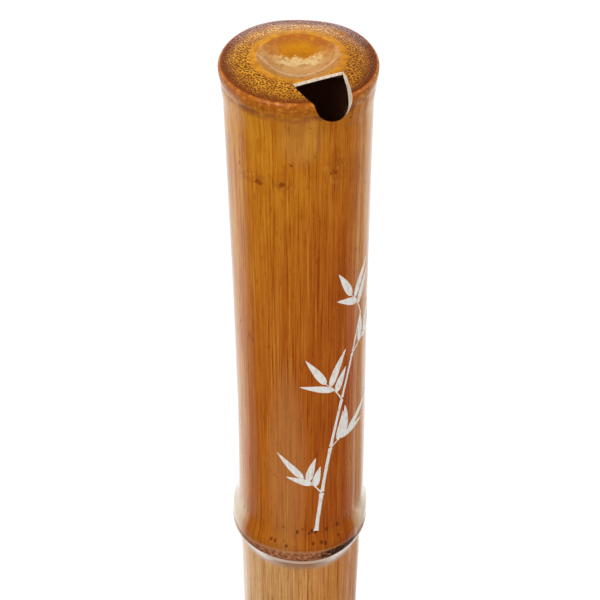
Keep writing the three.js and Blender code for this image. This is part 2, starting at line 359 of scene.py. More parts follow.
def culm_outline(first, last):
    """(radius, distance) points down the culm's outside between two distances."""
    points = []
    for index, (start, end) in enumerate(zip(LIPS, LIPS[1:])):
        top = start + (RIM_FLARE_LENGTH + RIM_BAND if index == 0 else LIP_HEIGHT + LIP_DROP)
        bottom = end - SWELLING_LENGTH
        for s in steps(max(2, round((bottom - top) / STRETCH_STEP))):
            distance = top + (bottom - top) * s
            points.append((internode_radius(distance, index), distance))
        if index == len(LIPS) - 2:
            break
        rise = SWELLING_LENGTH - LIP_BAND
        for s in steps(SWELLING_STEPS, 1):
            own = internode_radius(bottom + rise * s, index)
            gain = (LIP_RADIUS - LIP_BAND_FLARE - own) * (1 - fade(s ** SWELLING_LATENESS))
            points.append((own + gain, bottom + rise * s))
        for s in steps(LIP_STEPS, 1):
            points.append((LIP_RADIUS - LIP_BAND_FLARE * (1 - s), end - LIP_BAND * (1 - s)))
        below = internode_radius(end + LIP_HEIGHT + LIP_DROP, index + 1)
        for s in steps(LIP_STEPS)[:-1]:
            radius = below + (LIP_RADIUS - below) * fade(s ** LIP_DROP_EARLINESS)
            points.append((radius, end + LIP_HEIGHT + LIP_DROP * s))
    return [p for p in points if first < p[1] < last]


WHOLE_OUTLINE = [(d, r) for r, d in culm_outline(0, CULM_LENGTH + FIRST_INTERNODE)]


def culm_radius(distance):
    return read_off(WHOLE_OUTLINE, distance)


JOINT_DISTANCE = RIM_HEIGHT - (span("head_tube")[0] + span("foot_tube")[1]) / 2
# The level directions away from the camera and to its right
AWAY = Vector((-sin(CAMERA_TURN), cos(CAMERA_TURN), 0))
RIGHT = Vector((cos(CAMERA_TURN), sin(CAMERA_TURN), 0))


def bend(distance):
    """How far the culm's middle strays from the axis. Each section ends straight."""
    ends = (0, JOINT_DISTANCE) if distance < JOINT_DISTANCE else (JOINT_DISTANCE, CULM_LENGTH)
    return RIGHT * (BEND * sin(pi * share_of(*ends, distance)) ** 2)


def outward(azimuth):
    """The direction away from the axis: -Y at azimuth 0, and +X a quarter turn on."""
    return Vector((sin(azimuth), -cos(azimuth), 0))


def point_at(radius, azimuth, height):
    return outward(azimuth) * radius + Vector((0, 0, height))


def near_lip(distance):
    """The nearest lip's index, how far below it a distance is, and 1 at the lip and 0 far from it."""
    index = min(range(len(LIPS) - 1), key=lambda i: abs(distance - LIPS[i]))
    off = distance - LIPS[index]
    return index, off, exp(-((off / LIP_REACH) ** 2))


def turn_of(index):
    """1 at the first node, -1 at the next and so on, and 0 at the rim."""
    return (index % 2 * 2 - 1) * min(index, 1)


def lip_wander(azimuth, distance):
    """How far a node's lip rises or drops round the culm."""
    index, _, near = near_lip(distance)
    side = outward(azimuth).dot(RIGHT)
    seed = point_at(LIP_WANDER_SCALE, azimuth, LIP_WANDER_STEP * index + LIP_WANDER_START)
    run = LIP_RISE + LIP_CUP * side ** 2 + LIP_TILT * side - LIP_WAVE * sin(pi * side)
    return (noise.noise(seed) * LIP_WANDER + run * turn_of(index)) * near


def lip_shift(distance):
    """How far the culm steps sideways at a node, by turns to each side."""
    index, _, near = near_lip(distance)
    return RIGHT * (-LIP_SHIFT * turn_of(index) * near)


def grown(radius, azimuth, height):
    """A point of the culm, bent and uneven as it grew."""
    distance = RIM_HEIGHT - height
    if distance < DIAPHRAGM_ZONE and 0 < radius < EVEN_INSIDE:
        reach = exp(-(((radius - DISH_RADIUS) / DISH_WAVE_REACH) ** 2))
        radius += DISH_WAVE * cos(DISH_WAVES * (azimuth - CAMERA_TURN)) * reach * radius / DISH_RADIUS
    share = 1 - fade(share_of(EVEN_INSIDE, UNEVEN_OUTSIDE, radius))
    seed = point_at(UNEVEN_AROUND, azimuth, distance / UNEVEN_LENGTH)
    radius += noise.noise(seed) * UNEVENNESS * share
    rise = lip_wander(azimuth, distance) * share
    middle = bend(distance) + lip_shift(distance) * share
    return outward(azimuth) * radius + middle + Vector((0, 0, height + rise))


def placed(name, data):
    made = bpy.data.objects.new(name, data)
    bpy.context.scene.collection.objects.link(made)
    return made


def piece(name, vertices, faces, finishes, finish_of=None):
    mesh = bpy.data.meshes.new(name)
    mesh.from_pydata(vertices, [], faces)
    for finish in finishes:
        mesh.materials.append(finish)
    mesh.polygons.foreach_set("material_index", finish_of or [0] * len(faces))
    mesh.update()
    return placed(name, mesh)


def turned(name, runs, finishes, place=point_at, around=AROUND):
    """A closed solid turned about Z from clockwise runs of (radius, height) points, with their finishes."""
    loop = [point for _, run in runs for point in run]
    finish_at = [index for index, run in runs for _ in run]
    vertices, rings = [], []
    for radius, height in loop:
        first, count = len(vertices), around if radius > 0 else 1
        vertices += [place(radius, turn, height) for turn in turns(around)[:count]]
        rings.append([first + i % count for i in range(around)])
    faces, finish_of = [], []
    closing = 0 if loop[0][0] == 0 else 1
    for k in range(len(rings) - 1 + closing):
        a, b = rings[k], rings[(k + 1) % len(rings)]
        for i in range(around):
            j = (i + 1) % around
            faces.append(list(dict.fromkeys((a[i], b[i], b[j], a[j]))))
            finish_of.append(finish_at[k])
    return piece(name, vertices, faces, finishes, finish_of)


def lofted(name, rings, finishes, finish):
    """A closed solid through matching outlines."""
    count = len(rings[0])
    vertices = [point for ring in rings for point in ring]
    faces = [list(range(count))[::-1], [len(vertices) - count + i for i in range(count)]]
    for k in range(len(rings) - 1):
        for i in range(count):
            j = (i + 1) % count
            faces.append([k * count + i, k * count + j, (k + 1) * count + j, (k + 1) * count + i])
    return piece(name, vertices, faces, finishes, [finish] * len(faces))


def carve(target, cutters):
    """Cuts the cutters from the target. Cut faces keep the cutter's finish."""
    for cutter in cutters:
        cut = target.modifiers.new(cutter.name, "BOOLEAN")
        cut.operation = "DIFFERENCE"
        cut.solver = "MANIFOLD"
        cut.object = cutter
    graph = bpy.context.evaluated_depsgraph_get()
    mesh = bpy.data.meshes.new_from_object(target.evaluated_get(graph))
    target.modifiers.clear()
    target.data = mesh
    for cutter in cutters:
        bpy.data.objects.remove(cutter)


def done(made, body, node=None):
    """Smooths a piece, hides the CAD part that it replaces, and hangs it under its body's empty."""
    made.data.polygons.foreach_set("use_smooth", [True] * len(made.data.polygons))
    made.data.set_sharp_from_angle(angle=SHARP_ANGLE)
    if node:
        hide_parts(node)
    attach(made, body)


def mark_lips(made):
    """Keeps for the shader each vertex's depth below the nearest lip in mm, and whether that is near."""
    marks, nodes = [], []
    for vertex in made.data.vertices:
        x, y, z = vertex.co
        azimuth = atan2(x, -y)
        distance = RIM_HEIGHT - z
        index, off, _ = near_lip(distance)
        marks.append((off + lip_wander(azimuth, distance)) / MM)
        nodes.append(1.0 if index > 0 and abs(off) < NODE_ZONE else 0.0)
    for name, values in (("below_lip", marks), ("by_node", nodes)):
        made.data.attributes.new(name, "FLOAT", "POINT").data.foreach_set("value", values)


def end_face_outline():
    """(radius, height over the rim) points of the end face's dish and of its dome."""
    dish = [(DISH_RADIUS * s, DOME_HEIGHT - DISH_DEPTH * (1 - s ** DISH_FLATNESS)) for s in steps(DISH_STEPS)]
    edge = RIM_RADIUS - RIM_EDGE_ROUND
    dome = [
        (DISH_RADIUS + (edge - DISH_RADIUS) * s,
         RIM_EDGE_ROUND + (DOME_HEIGHT - RIM_EDGE_ROUND) * cos(pi / 2 * s))
        for s in steps(DOME_STEPS, 1)
    ]
    return dish, dome


def rim_outline():
    """(radius, distance) points of the rim's edge, band and flare."""
    below = internode_radius(RIM_BAND + RIM_FLARE_LENGTH, 0)
    at_band = RIM_RADIUS - RIM_BAND_FLARE
    band = [(RIM_RADIUS - RIM_BAND_FLARE * s ** 2, RIM_BAND * s) for s in steps(LIP_STEPS)[:-1]]
    flare = [
        (below + (at_band - below) * fade(s), RIM_BAND + RIM_FLARE_LENGTH * s)
        for s in steps(SWELLING_STEPS)[:-1]
    ]
    edge = [
        (RIM_RADIUS - RIM_EDGE_ROUND * (1 - sin(pi / 2 * s)), -RIM_EDGE_ROUND * cos(pi / 2 * s))
        for s in steps(LIP_STEPS, 1)[:-1]
    ]
    return edge + band + flare


def underside_outline():
    """(radius, height over the rim) points under the diaphragm, inwards."""
    flat, under = BORE_RADIUS - UNDER_FILLET, DOME_HEIGHT - DIAPHRAGM_THICKNESS
    fillet = [
        (flat + UNDER_FILLET * cos(pi / 2 * s), under - UNDER_FILLET * (1 - sin(pi / 2 * s)))
        for s in steps(DISH_STEPS)
    ]
    inner = [
        (flat * (1 - s), under - DISH_DEPTH * (1 - (1 - s) ** DISH_FLATNESS))
        for s in steps(DISH_STEPS, 1)
    ]
    return fillet + inner


def over_rim(points):
    return [(radius, RIM_HEIGHT + height) for radius, height in points]


def below_rim(points):
    return [(radius, RIM_HEIGHT - distance) for radius, distance in points]


def notch_cutter(finishes):
    """The notch: half an ellipse that narrows outwards, over a sloping floor."""
    rings = []
    for reach, width in NOTCH_PLAN:
        depth = NOTCH_DEPTH + (RIM_RADIUS - reach) * NOTCH_FLOOR_SLOPE
        rise = DOME_HEIGHT + OVERRUN
        bowl = [
            (NOTCH_LEAN * sin(pi * s) - width / 2 * cos(pi * s), RIM_EDGE_ROUND - depth * sin(pi * s))
            for s in steps(NOTCH_STEPS)
        ]
        outline = [(-width / 2, rise), *bowl, (width / 2, rise)]
        rings.append([Vector((x, -reach, RIM_HEIGHT + z)) for x, z in outline])
    return lofted("notch_cutter", rings, finishes, CUT)


def hollow_cutter(finishes):
    """The hollow that thins the notch's edge: rounded boxes that shrink outwards."""
    rings = []
    for s in steps(HOLLOW_STEPS):
        reach = HOLLOW_START + (HOLLOW_END - HOLLOW_START) * s
        half_width = read_off(NOTCH_PLAN, reach) / 2 + HOLLOW_MARGIN * (1 - s)
        top = HOLLOW_TOP - (reach - HOLLOW_START) * HOLLOW_SLOPE
        low = RIM_EDGE_ROUND - NOTCH_DEPTH - (RIM_RADIUS - reach) * NOTCH_FLOOR_SLOPE
        ring = []
        for turn in turns(HOLE_STEPS):
            across = copysign(abs(cos(turn)) ** HOLLOW_SQUARENESS, cos(turn))
            along = copysign(abs(sin(turn)) ** HOLLOW_SQUARENESS, sin(turn))
            z = (top + low) / 2 + (top - low) / 2 * along
            ring.append(Vector((half_width * across, -reach, RIM_HEIGHT + z)))
        rings.append(ring)
    return lofted("hollow_cutter", rings, finishes, BORE)


def hole_cutter(width, tall, distance, turn, finishes):
    """An oval plug through the wall, whose mouth eases out onto the skin."""
    radius, ease = culm_radius(distance), HOLE_EDGE_ROUND
    side = outward(turn + pi / 2)
    middle = bend(distance) + Vector((0, 0, RIM_HEIGHT - distance))
    rings = []
    for swell, lift in ((0, None), *HOLE_MOUTH_SHARES, (HOLE_MOUTH_END_SHARE, None)):
        ring = []
        for around in turns(HOLE_STEPS):
            across = (width / 2 + swell * ease) * cos(around)
            along = (tall / 2 + swell * ease) * sin(around)
            out = sqrt(radius ** 2 - across ** 2)
            if lift is None:
                out = radius + OVERRUN if swell else BORE_RADIUS / 2
            else:
                out += lift * ease
            ring.append(middle + outward(turn) * out + side * across + Vector((0, 0, along)))
        rings.append(ring)
    return lofted("hole_cutter", rings, finishes, CUT)


def colour_of(value):
    return (*value, 1) if isinstance(value, tuple) else value


def join(tree, node, inputs):
    """Links or sets a node's inputs."""
    for key, value in inputs.items():
        if isinstance(value, Value):
            tree.links.new(value.socket, node.inputs[key])
        else:
            node.inputs[key].default_value = value


def add_node(tree, kind, inputs=None, output=0, **settings):
    """Adds a shader node and returns one of its outputs."""
    node = tree.nodes.new("ShaderNode" + kind)
    for key, value in settings.items():
        setattr(node, key, value)
    join(tree, node, inputs or {})
    return Value(tree, node.outputs[output])


class Value:
    """A shader node's output. Arithmetic on it adds the nodes that work it out."""

    def __init__(self, tree, socket):
        self.tree = tree
        self.socket = socket

    def maths(self, operation, other=0.0, clamp=False):
        return add_node(self.tree, "Math", {0: self, 1: other}, operation=operation, use_clamp=clamp)

    def __add__(self, other):
        return self.maths("ADD", other)

    def __sub__(self, other):
        return self.maths("SUBTRACT", other)

    def __rsub__(self, other):
        return add_node(self.tree, "Math", {0: other, 1: self}, operation="SUBTRACT")

    def __mul__(self, other):
        return self.maths("MULTIPLY", other)

    def __truediv__(self, other):
        return self.maths("DIVIDE", other)

    def __abs__(self):
        return self.maths("ABSOLUTE")

    def step(self, low, high, start=0.0, end=1.0, kind="SMOOTHSTEP"):
        """start below low, end above high and a soft step between."""
        inputs = {"Value": self, "From Min": low, "From Max": high, "To Min": start, "To Max": end}
        return add_node(self.tree, "MapRange", inputs, interpolation_type=kind)

    def within(self, rise, fall):
        """1 between a rise and a fall, each from a low to a high value, and 0 elsewhere."""
        return self.step(*rise) * self.step(*fall, 1, 0)

    def sway(self, amount):
        """A grain that strays both ways from 0."""
        return (self - 0.5) * amount

    def blend(self, a, b, kind="MIX"):
        """Colour a where this value is 0, and b where it is 1."""
        inputs = {0: self, 6: colour_of(a), 7: colour_of(b)}
        return add_node(self.tree, "Mix", inputs, 2, data_type="RGBA", blend_type=kind)

    def ramp(self, *stops):
        """Colours against this value, from (place, colour) stops."""
        made = add_node(self.tree, "ValToRGB", {0: self})
        elements = made.socket.node.color_ramp.elements
        while len(elements) < len(stops):
            elements.new(0.5)
        for element, (place, colour) in zip(elements, stops):
            element.position = place
            element.color = colour_of(colour)
        return made


class Finish:
    """A material, and the places and patterns for its colours."""

    def __init__(self, name):
        self.material = bpy.data.materials.new(name)
        self.material.use_nodes = True
        self.tree = self.material.node_tree
        self.shader = self.tree.nodes["Principled BSDF"]
        self.place = self.node("TexCoord", output="Object")

    def node(self, kind, inputs=None, output=0, **settings):
        return add_node(self.tree, kind, inputs, output, **settings)

    def vector(self, operation, a, b=(0, 0, 0), output=0):
        return self.node("VectorMath", {0: a, 1: b}, output, operation=operation)

    def set(self, **inputs):
        """Sets the shader's sockets, with _ for a space."""
        join(self.tree, self.shader, {key.replace("_", " "): value for key, value in inputs.items()})

    def scaled(self, across, along, shift):
        """Places with so many units per millimetre."""
        wide = self.vector("MULTIPLY", self.place, (across / MM, across / MM, along / MM))
        return self.vector("ADD", wide, (shift, shift, shift))

    def grain(self, across, along, detail=3.0, roughness=0.6, shift=0.0, distortion=0.0):
        """Noise with so many lumps per millimetre across and along the culm."""
        inputs = {"Scale": 1.0, "Detail": detail, "Roughness": roughness, "Distortion": distortion}
        return self.node("TexNoise", {"Vector": self.scaled(across, along, shift), **inputs})

    def cells(self, across, along, shift=0.0, randomness=1.0):
        """The distance to scattered points, so many per millimetre."""
        inputs = {"Vector": self.scaled(across, along, shift), "Scale": 1.0, "Randomness": randomness}
        return self.node("TexVoronoi", inputs, "Distance", voronoi_dimensions="3D" if along else "2D")

    def over_foot(self):
        """The height over the foot end in millimetres."""
        return self.node("SeparateXYZ", {0: self.place}, "Z") / MM

    def away_from_axis(self):
        return self.vector("NORMALIZE", self.vector("MULTIPLY", self.place, (1, 1, 0)))

    def facing(self, direction):
        """1 on the side that faces a fixed direction, and -1 on the other."""
        return self.vector("DOT_PRODUCT", self.away_from_axis(), tuple(direction), "Value")

    def over(self, direction):
        """Millimetres from the axis along a fixed direction."""
        return self.vector("DOT_PRODUCT", self.place, tuple(direction / MM), "Value")

    def far_side(self, start, end):
        """start on the camera's side and end on the other."""
        return self.facing(AWAY).step(*FAR_SIDE, start, end)

    def soft_spot(self, across, distance, wide, tall, share=1):
        """A soft oval on the camera's side: share inside it, 0 outside."""
        aside = (self.over(RIGHT) - across) / wide
        down = (RIM_MM - distance - self.over_foot()) / tall
        return (aside * aside + down * down).step(0.1, 1.0, 1, 0) * self.far_side(share, 0)

    def wrap(self):
        """From here on, patterns run straight along the culm, whatever its girth."""
        around = self.vector("MULTIPLY", self.away_from_axis(), (CULM_END_RADIUS,) * 3)
        along = self.vector("MULTIPLY", self.place, (0, 0, 1))
        self.place = self.vector("ADD", around, along)

    def coat(self, mask, colour, kind="MIX"):
        """Lays a colour over the finish's own where a mask is 1."""
        self.colour = mask.blend(self.colour, colour, kind)

    def tint(self, mask, colour):
        self.coat(mask, colour, "MULTIPLY")

    def relief(self, height, depth):
        return self.node("Bump", {"Height": height, "Distance": depth, "Strength": 1.0})

    def lacquer(self, height, depth):
        """A clear coat over relief, with its depth in metres."""
        bump = self.relief(height, depth)
        self.set(Normal=bump, Coat_Normal=bump, Coat_Weight=1.0, Coat_Roughness=0.06, Coat_IOR=1.36)


class Skin(Finish):
    """The culm's skin, with what its marks share."""

    def __init__(self):
        super().__init__("lacquered_culm")
        self.wrap()
        self.depth = RIM_MM - self.over_foot()
        self.nearest = self.node("Attribute", output="Fac", attribute_name="below_lip")
        by_node = self.node("Attribute", output="Fac", attribute_name="by_node")
        self.lip = self.nearest + (1.0 - by_node) * self.nearest.maths("SIGN") * NOT_BY_NODE
        self.ragged_lip = self.lip + self.grain(0.8, 0.5, shift=7) * 0.8
        self.side = self.facing(RIGHT)
        self.fibres = self.grain(2.4, 0.03, roughness=0.65, shift=3)
        self.cloudy = self.grain(0.09, 0.03, detail=2, shift=11).sway(1.2)


def plain_tone(f):
    """Amber, redder downwards and to the right, lighter below the first node, and above it lighter at both
    sides as a painted highlight.
    """
    below_first_lip = f.nearest.step(0.3, 1.0) * f.depth.step(*PAST_FIRST_MIDDLE)
    lower = below_first_lip.maths("MAXIMUM", f.depth.step(*SECOND_INTERNODE))
    leaning = (f.side + f.cloudy).step(-0.9, 0.8)
    down = (f.depth + f.cloudy * 25).step(*REDDENING)
    top = leaning.blend((0.62, 0.25, 0.013), (0.53, 0.17, 0.012))
    upper = down.blend(top, leaning.blend((0.525, 0.158, 0.012), (0.45, 0.105, 0.010)))
    # Painted highlight: lighter towards both sides.
    side_highlight = (abs(f.side) + f.cloudy * 0.3).step(0.72, 0.95, 0, 0.6)
    upper = side_highlight.blend(upper, (0.72, 0.36, 0.05))
    f.colour = lower.blend(upper, leaning.blend((0.78, 0.48, 0.205), (0.65, 0.26, 0.052)))


def streaked(f):
    """Mottling, streaks, fibres, ticks, hairs and pale spots that are painted highlights."""
    near_rim = (f.depth + f.cloudy * 20).step(*CALM_GRAIN, 1, 0)
    strength = 1.0 - near_rim * 0.5
    mottle = f.grain(0.4, 0.14, detail=5, shift=63).step(0.42, 0.62)
    f.tint(mottle * (near_rim * 0.45 + 0.25), (0.80, 0.62, 0.46))
    broad = f.grain(0.6, 0.014, detail=4).step(0.42, 0.64, 0, 0.5)
    f.tint(broad * strength, (0.80, 0.64, 0.48))
    f.tint(f.fibres.step(0.5, 0.58, 0, 0.6) * strength, (0.78, 0.60, 0.44))
    f.coat(f.fibres.step(0.34, 0.42, 0.28, 0) * strength, (0.74, 0.40, 0.07))
    ticks = f.grain(3.2, 0.28, roughness=0.7, shift=37)
    f.tint(ticks.step(0.6, 0.66, 0, 0.8), (0.64, 0.42, 0.28))
    hairs = f.grain(5.5, 0.05, detail=2, shift=17)
    f.tint(hairs.step(0.56, 0.62, 0, 0.85), (0.60, 0.40, 0.28))
    # Painted highlights: soft pale spots that stand for reflections on the front.
    for *spot, pale in PAINTED_HIGHLIGHTS:
        f.coat(f.soft_spot(*spot), pale)


def flecked(f):
    """Dark flecks and knots all round, and one dark fibre down the camera's left."""
    flecks = f.cells(0.2, 0.11, shift=4) + f.grain(2.5, 1.2) * 0.05
    f.coat(flecks.step(0.05, 0.085, 0.8, 0), (0.16, 0.03, 0.004))
    knots = f.cells(0.075, 0.05, shift=6) + f.grain(1.6, 0.6, detail=4).sway(0.3)
    f.coat(knots.step(0.03, 0.09, 0.6, 0), (0.24, 0.05, 0.006))
    aside = f.over(RIGHT) + (DARK_FIBRE_LEFT - f.depth * DARK_FIBRE_LEAN)
    fibre = (abs(aside) + f.far_side(0, 9)).step(0.1, 0.5, 0.4, 0)
    f.coat(fibre * f.depth.step(*DARK_FIBRE_END, 1, 0), (0.40, 0.12, 0.010))


def blemished(f):
    """Curled grain and torn knots on the camera's side."""
    swirl = f.grain(0.55, 0.5, detail=4, roughness=0.65, shift=83, distortion=1.4)
    dark = swirl.step(0.47, 0.57, 0, 0.6)
    pale = swirl.step(0.36, 0.44, 0.22, 0)
    for spot in GNARLS:
        gnarl = f.soft_spot(*spot)
        f.coat(gnarl * dark, (0.36, 0.10, 0.008))
        f.coat(gnarl * pale, (0.74, 0.38, 0.08))
    torn = f.grain(0.8, 0.7, detail=5, roughness=0.7, shift=47, distortion=1.2).sway(4.0)
    for spot in KNOTS:
        knot = (f.soft_spot(*spot) + torn).step(0.55, 1.25, 0, 0.9)
        f.coat(knot, (0.23, 0.045, 0.006))


def root_pits(f):
    """1 in the pits of old roots, in two rows above each node."""
    pit = (f.cells(0.8, 0.42, shift=9) + f.fibres * 0.12).step(0.24, 0.42, 1, 0)
    upper, lower = (f.lip.within(*row) for row in PIT_ROWS)
    return pit * (upper + lower) * f.grain(0.5, 0.1, detail=0, shift=31).step(0.26, 0.36)


def shaded_swelling(f):
    """A painted highlight at the sides of each swelling, and a painted shade all round."""
    bloom_and_highlight = f.lip.within(*SWELLING_HIGHLIGHT) * abs(f.side).step(0.76, 1.0, 0, 0.8)
    f.coat(bloom_and_highlight * f.depth.step(*SWELLING_HIGHLIGHT_FADE, 1, 0.35), (0.93, 0.80, 0.70))
    f.tint(f.lip.within(*SHADE), (0.84, 0.87, 0.8))


def scarred(f):
    """The speckled scar above each lip: its rusty edge, a black patch, and under it a thin painted shade
    line.
    """
    height = abs(f.facing(AWAY)) * SCAR_HEIGHT - SCAR_HEIGHT_LOSS
    above = f.ragged_lip + height.maths("MAXIMUM", LEAST_SCAR_HEIGHT)
    band = above.step(*SCAR_START) * f.lip.step(*LIP_EDGE, 1, 0)
    scar = f.grain(1.2, 1.8, detail=5, roughness=0.7, shift=5).ramp(
        (0.36, (0.11, 0.03, 0.012)), (0.5, (0.31, 0.105, 0.04)), (0.64, (0.50, 0.24, 0.13)),
    )
    reach = f.grain(0.13, 0.1, detail=1, shift=57).step(0.46, 0.56, 0.25, 0.75)
    specks = f.cells(1.3, 1.3, shift=2).step(0.1, reach, 0.95, 0.0, "LINEAR")
    f.coat(band * 0.92, specks.blend(scar, (0.02, 0.008, 0.006)))
    f.coat(above.within(*SCAR_RUST) * 0.5, (0.52, 0.24, 0.11))
    patch = f.grain(1.1, 1.4, detail=4, shift=19).step(0.4, 0.54) * f.soft_spot(*BLACK_PATCH)
    f.coat(patch.maths("MINIMUM", 0.92) * band, (0.03, 0.012, 0.009))
    # Painted shade: a thin dark line just above the lip.
    f.coat(f.lip.within(*SHADE_LINE_UNDER_SCAR) * 0.3, (0.06, 0.03, 0.014))


def crested(f):
    """The pale crest of each lip, partly its own pale fibres and partly a painted highlight that is whitest
    and lowest at the sides, and below the lip painted shade in front turning to painted reflection at the
    sides.
    """
    sideways = abs(f.side).step(0.15, 0.6)
    # Painted shade in front that turns to a painted reflection at the sides.
    shade_and_reflection = f.lip.step(*UNDER_LIP_START) * f.ragged_lip.step(*UNDER_LIP_END, 0.95, 0)
    f.coat(shade_and_reflection, sideways.blend((0.38, 0.21, 0.125), (0.68, 0.52, 0.47)))
    # At the sides the crest reaches further down and turns white: a painted highlight over its own pale
    # fibres.
    below = f.lip - sideways * CREST_DROP
    crest = f.lip.step(*LIP_EDGE) * below.step(*CREST_END, 1, 0)
    white = sideways.blend((0.66, 0.46, 0.34), (0.95, 0.87, 0.79))
    worn = f.grain(0.5, 0.5, shift=23).step(0.35, 0.7, 0, 0.6).blend(white, (0.55, 0.40, 0.31))
    f.coat(crest * 0.92, worn)


def rimmed(f):
    """The red-brown band under the rim, and its broken dark groove."""
    below = f.depth + f.grain(0.5, 0.5, detail=5, roughness=0.75, shift=29).sway(1.6)
    band = f.grain(1.1, 1.5, detail=5, roughness=0.65, shift=43).ramp(
        (0.36, (0.56, 0.22, 0.04)), (0.46, (0.42, 0.118, 0.012)), (0.62, (0.27, 0.052, 0.007)),
    )
    f.coat(below.step(*RIM_BAND_END, 0.8, 0), band)
    shown = f.grain(0.2, 0.15, shift=71).step(0.42, 0.6, 0.0, 0.75)
    f.coat(below.within(*RIM_GROOVE) * shown, (0.17, 0.04, 0.02))


def culm_skin():
    """Polished bamboo skin under clear lacquer."""
    f = Skin()
    pits = root_pits(f)
    plain_tone(f)
    streaked(f)
    flecked(f)
    blemished(f)
    f.coat(pits * 0.8, (0.12, 0.022, 0.005))
    shaded_swelling(f)
    scarred(f)
    crested(f)
    rimmed(f)
    f.set(Base_Color=f.colour, Roughness=0.42, Specular_IOR_Level=0.0)
    f.lacquer(f.fibres + pits * -2.0, SKIN_RELIEF)
    f.set(Coat_Weight=f.depth.step(*DULL_RIM, 0.5, 1.0))
    return f.material


class EndGrain(Finish):
    """The culm cut across, with what its marks share."""

    def __init__(self, name):
        super().__init__(name)
        flat = self.vector("MULTIPLY", self.place, (1 / MM, 1 / MM, 0))
        self.out = self.vector("LENGTH", flat, output="Value")
        self.back = self.over(AWAY)
        self.right = self.over(RIGHT)
        self.uneven_out = self.out + self.grain(0.3, 0.3).sway(1.4)
        self.fuzz = self.grain(0.9, 0.9, detail=5, roughness=0.65, shift=13)
        coarse = self.cells(2.0, 0, randomness=0.6).step(0.29, 0.45, 1, 0)
        fine = self.cells(2.6, 0, shift=6, randomness=0.65).step(0.29, 0.5, 1, 0)
        dots = self.node("Mix", {0: self.out.step(*FINER_DOTS), 2: coarse, 3: fine})
        here = self.uneven_out.step(*DOTS_START) * self.out.step(*DOTS_END, 1, 0.1)
        self.dots = dots * here


def dotted_wood(f):
    """Golden wood, darker to the skin, the front and the right, with fibre ends as dots."""
    leant = f.uneven_out + f.back * 0.05 - 0.35
    f.colour = leant.step(*WOOD_DARKENING).ramp(
        (0.0, (0.72, 0.31, 0.019)), (0.22, (0.75, 0.325, 0.019)), (0.55, (0.74, 0.32, 0.020)),
        (0.74, (0.54, 0.19, 0.015)), (0.88, (0.26, 0.06, 0.008)), (1.0, (0.30, 0.07, 0.010)),
    )
    mottle = f.grain(0.7, 0.7, detail=4, shift=3)
    f.tint(mottle.step(0.38, 0.66, 0, 0.7), (0.62, 0.48, 0.4))
    f.tint(f.right.step(*DARK_RIGHT, 0, 0.9), (0.76, 0.64, 0.5))
    f.tint(f.back.step(*DARK_FRONT, 0.8, 0), (0.86, 0.80, 0.8))
    strength = f.back.step(*FAINT_DOTS_BACK, 0.92, 0.55)
    f.coat(f.dots * strength, (0.085, 0.026, 0.005))


def pith(f):
    """The dish: pale in its middle, partly its own colour and partly a painted reflection, amber behind,
    blotched, and with a painted shadow along its back edge.
    """
    # The pale middle is partly the pith's own colour and partly a painted reflection.
    colour = (f.back + f.fuzz.sway(5.0)).step(*PITH_BACK).ramp(
        (0.0, (0.60, 0.28, 0.07)), (0.42, (0.66, 0.36, 0.13)), (0.58, (0.80, 0.56, 0.26)),
        (0.68, (0.76, 0.50, 0.20)), (0.75, (0.47, 0.16, 0.002)), (1.0, (0.58, 0.24, 0.006)),
    )
    sides = (abs(f.right) + f.fuzz * 3).step(*DISH_SIDES, 0, 0.85)
    colour = sides.blend(colour, (0.52, 0.24, 0.06))
    blotches = f.grain(0.8, 0.8, detail=5, shift=41).step(0.5, 0.66, 0, 0.65)
    colour = blotches.blend(colour, (0.36, 0.12, 0.012))
    # Painted shadow along the dish's back edge, under its rim.
    back_shadow = f.back.step(*SHADOW_BACK) * f.uneven_out.step(*SHADOW_START)
    return (back_shadow * f.fuzz.step(0.36, 0.5, 0.2, 0.85)).blend(colour, (0.36, 0.10, 0.016))


def end_grain(name, lacquered):
    """The end face with its dish. The foot end is left dull."""
    f = EndGrain(name)
    dish = (f.out + f.fuzz * 0.8).step(*DISH_EDGE, 1, 0)
    dotted_wood(f)
    f.coat(dish, pith(f))
    f.set(Base_Color=f.colour, Roughness=0.45, Specular_IOR_Level=0.0)
    if lacquered:
        f.lacquer(f.fuzz - f.dots, END_RELIEF)
        gloss = f.out.step(*DISH_GLOSS, 0.6, 1.0) * f.back.step(*GLOSSY_BACK, 0.5, 1.0)
        gloss = gloss * (1.0 - f.dots * 0.7)
        f.set(Coat_Weight=gloss.maths("ADD", f.out.step(*DISH_EDGE, 0.3, 0.0), clamp=True), Coat_IOR=1.3)
    return f.material


def cut_bamboo():
    """The pale inner bamboo bared at the notch and the holes."""
    f = Finish("cut_bamboo")
    lines = f.grain(3.0, 0.35)
    tone = lines.step(0.38, 0.62).blend((0.88, 0.78, 0.64), (0.74, 0.58, 0.42))
    specks = f.cells(1.3, 1.3).step(0.1, 0.22, 0.8, 0)
    f.set(Base_Color=specks.blend(tone, (0.28, 0.13, 0.06)), Roughness=0.55, Specular_IOR_Level=0.2)
    f.set(Normal=f.relief(lines, CUT_RELIEF))
    return f.material


def bore_lacquer():
    """The brown wall of the bore, near black close to the notch."""
    f = Finish("bore_lacquer")
    wall = f.grain(0.25, 0.02, detail=4).blend((0.22, 0.08, 0.035), (0.36, 0.14, 0.06))
    low, high = (RIM_MM - distance for distance in DARKEST_NEAR_RIM)
    black = f.over_foot().step(low, high, 0, 0.92)
    f.set(Base_Color=black.blend(wall, (0.02, 0.008, 0.004)), Roughness=0.4, Specular_IOR_Level=0.3)
    return f.material


